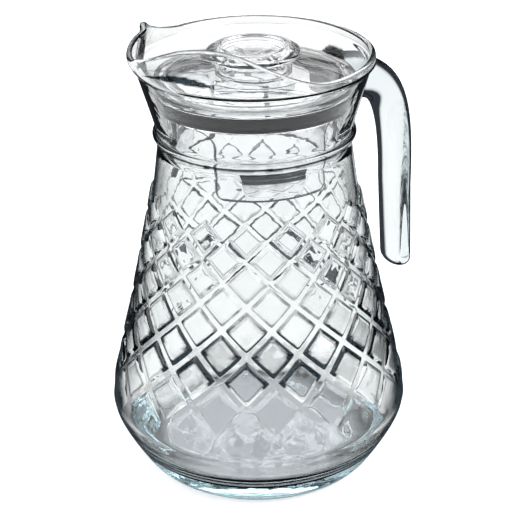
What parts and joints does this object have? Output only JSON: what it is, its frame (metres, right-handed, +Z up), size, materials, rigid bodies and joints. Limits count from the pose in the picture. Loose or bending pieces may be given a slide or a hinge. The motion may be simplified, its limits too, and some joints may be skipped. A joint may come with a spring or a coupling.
{
  "type": "glass pitcher with lid",
  "caption": "Pressed glass pitcher with a diamond net, a winged pouring spout, an open-ended glass handle and a clear plastic lid with snap legs, a hollow knob and a soft seal.",
  "frame": {"origin": "centre of the ring that the jug stands on, at its lowest face", "axes": "+Z up along the axis of the jug, +X towards the tip of the spout, the handle on the -X side"},
  "size_m": [0.1879, 0.1574, 0.2414],
  "materials": {
    "jug_glass": "clear pressed soda-lime glass with a faint blue-green tint",
    "handle_glass": "clear soda-lime glass, fire polished",
    "lid_plastic": "clear moulded plastic, glossy",
    "seal_rubber": "translucent silicone rubber"
  },
  "bodies": {
    "jug": {"glass_jug": "jug_glass", "handle": "handle_glass"},
    "lid_seal": {"seal_ring": "seal_rubber"},
    "lid": {"lid_body": "lid_plastic", "lid_knob": "lid_plastic"}
  },
  "joints": [
    {"name": "lid_lift", "type": "slide", "parent": "jug", "child": "lid_seal", "axis": [0, 0, 1], "range_m": [0, 0.1]},
    {"name": "lid_turn", "type": "hinge", "parent": "lid_seal", "child": "lid", "pos_m": [0, 0, 0.21], "axis": [0, 0, 1], "continuous": true}
  ]
}
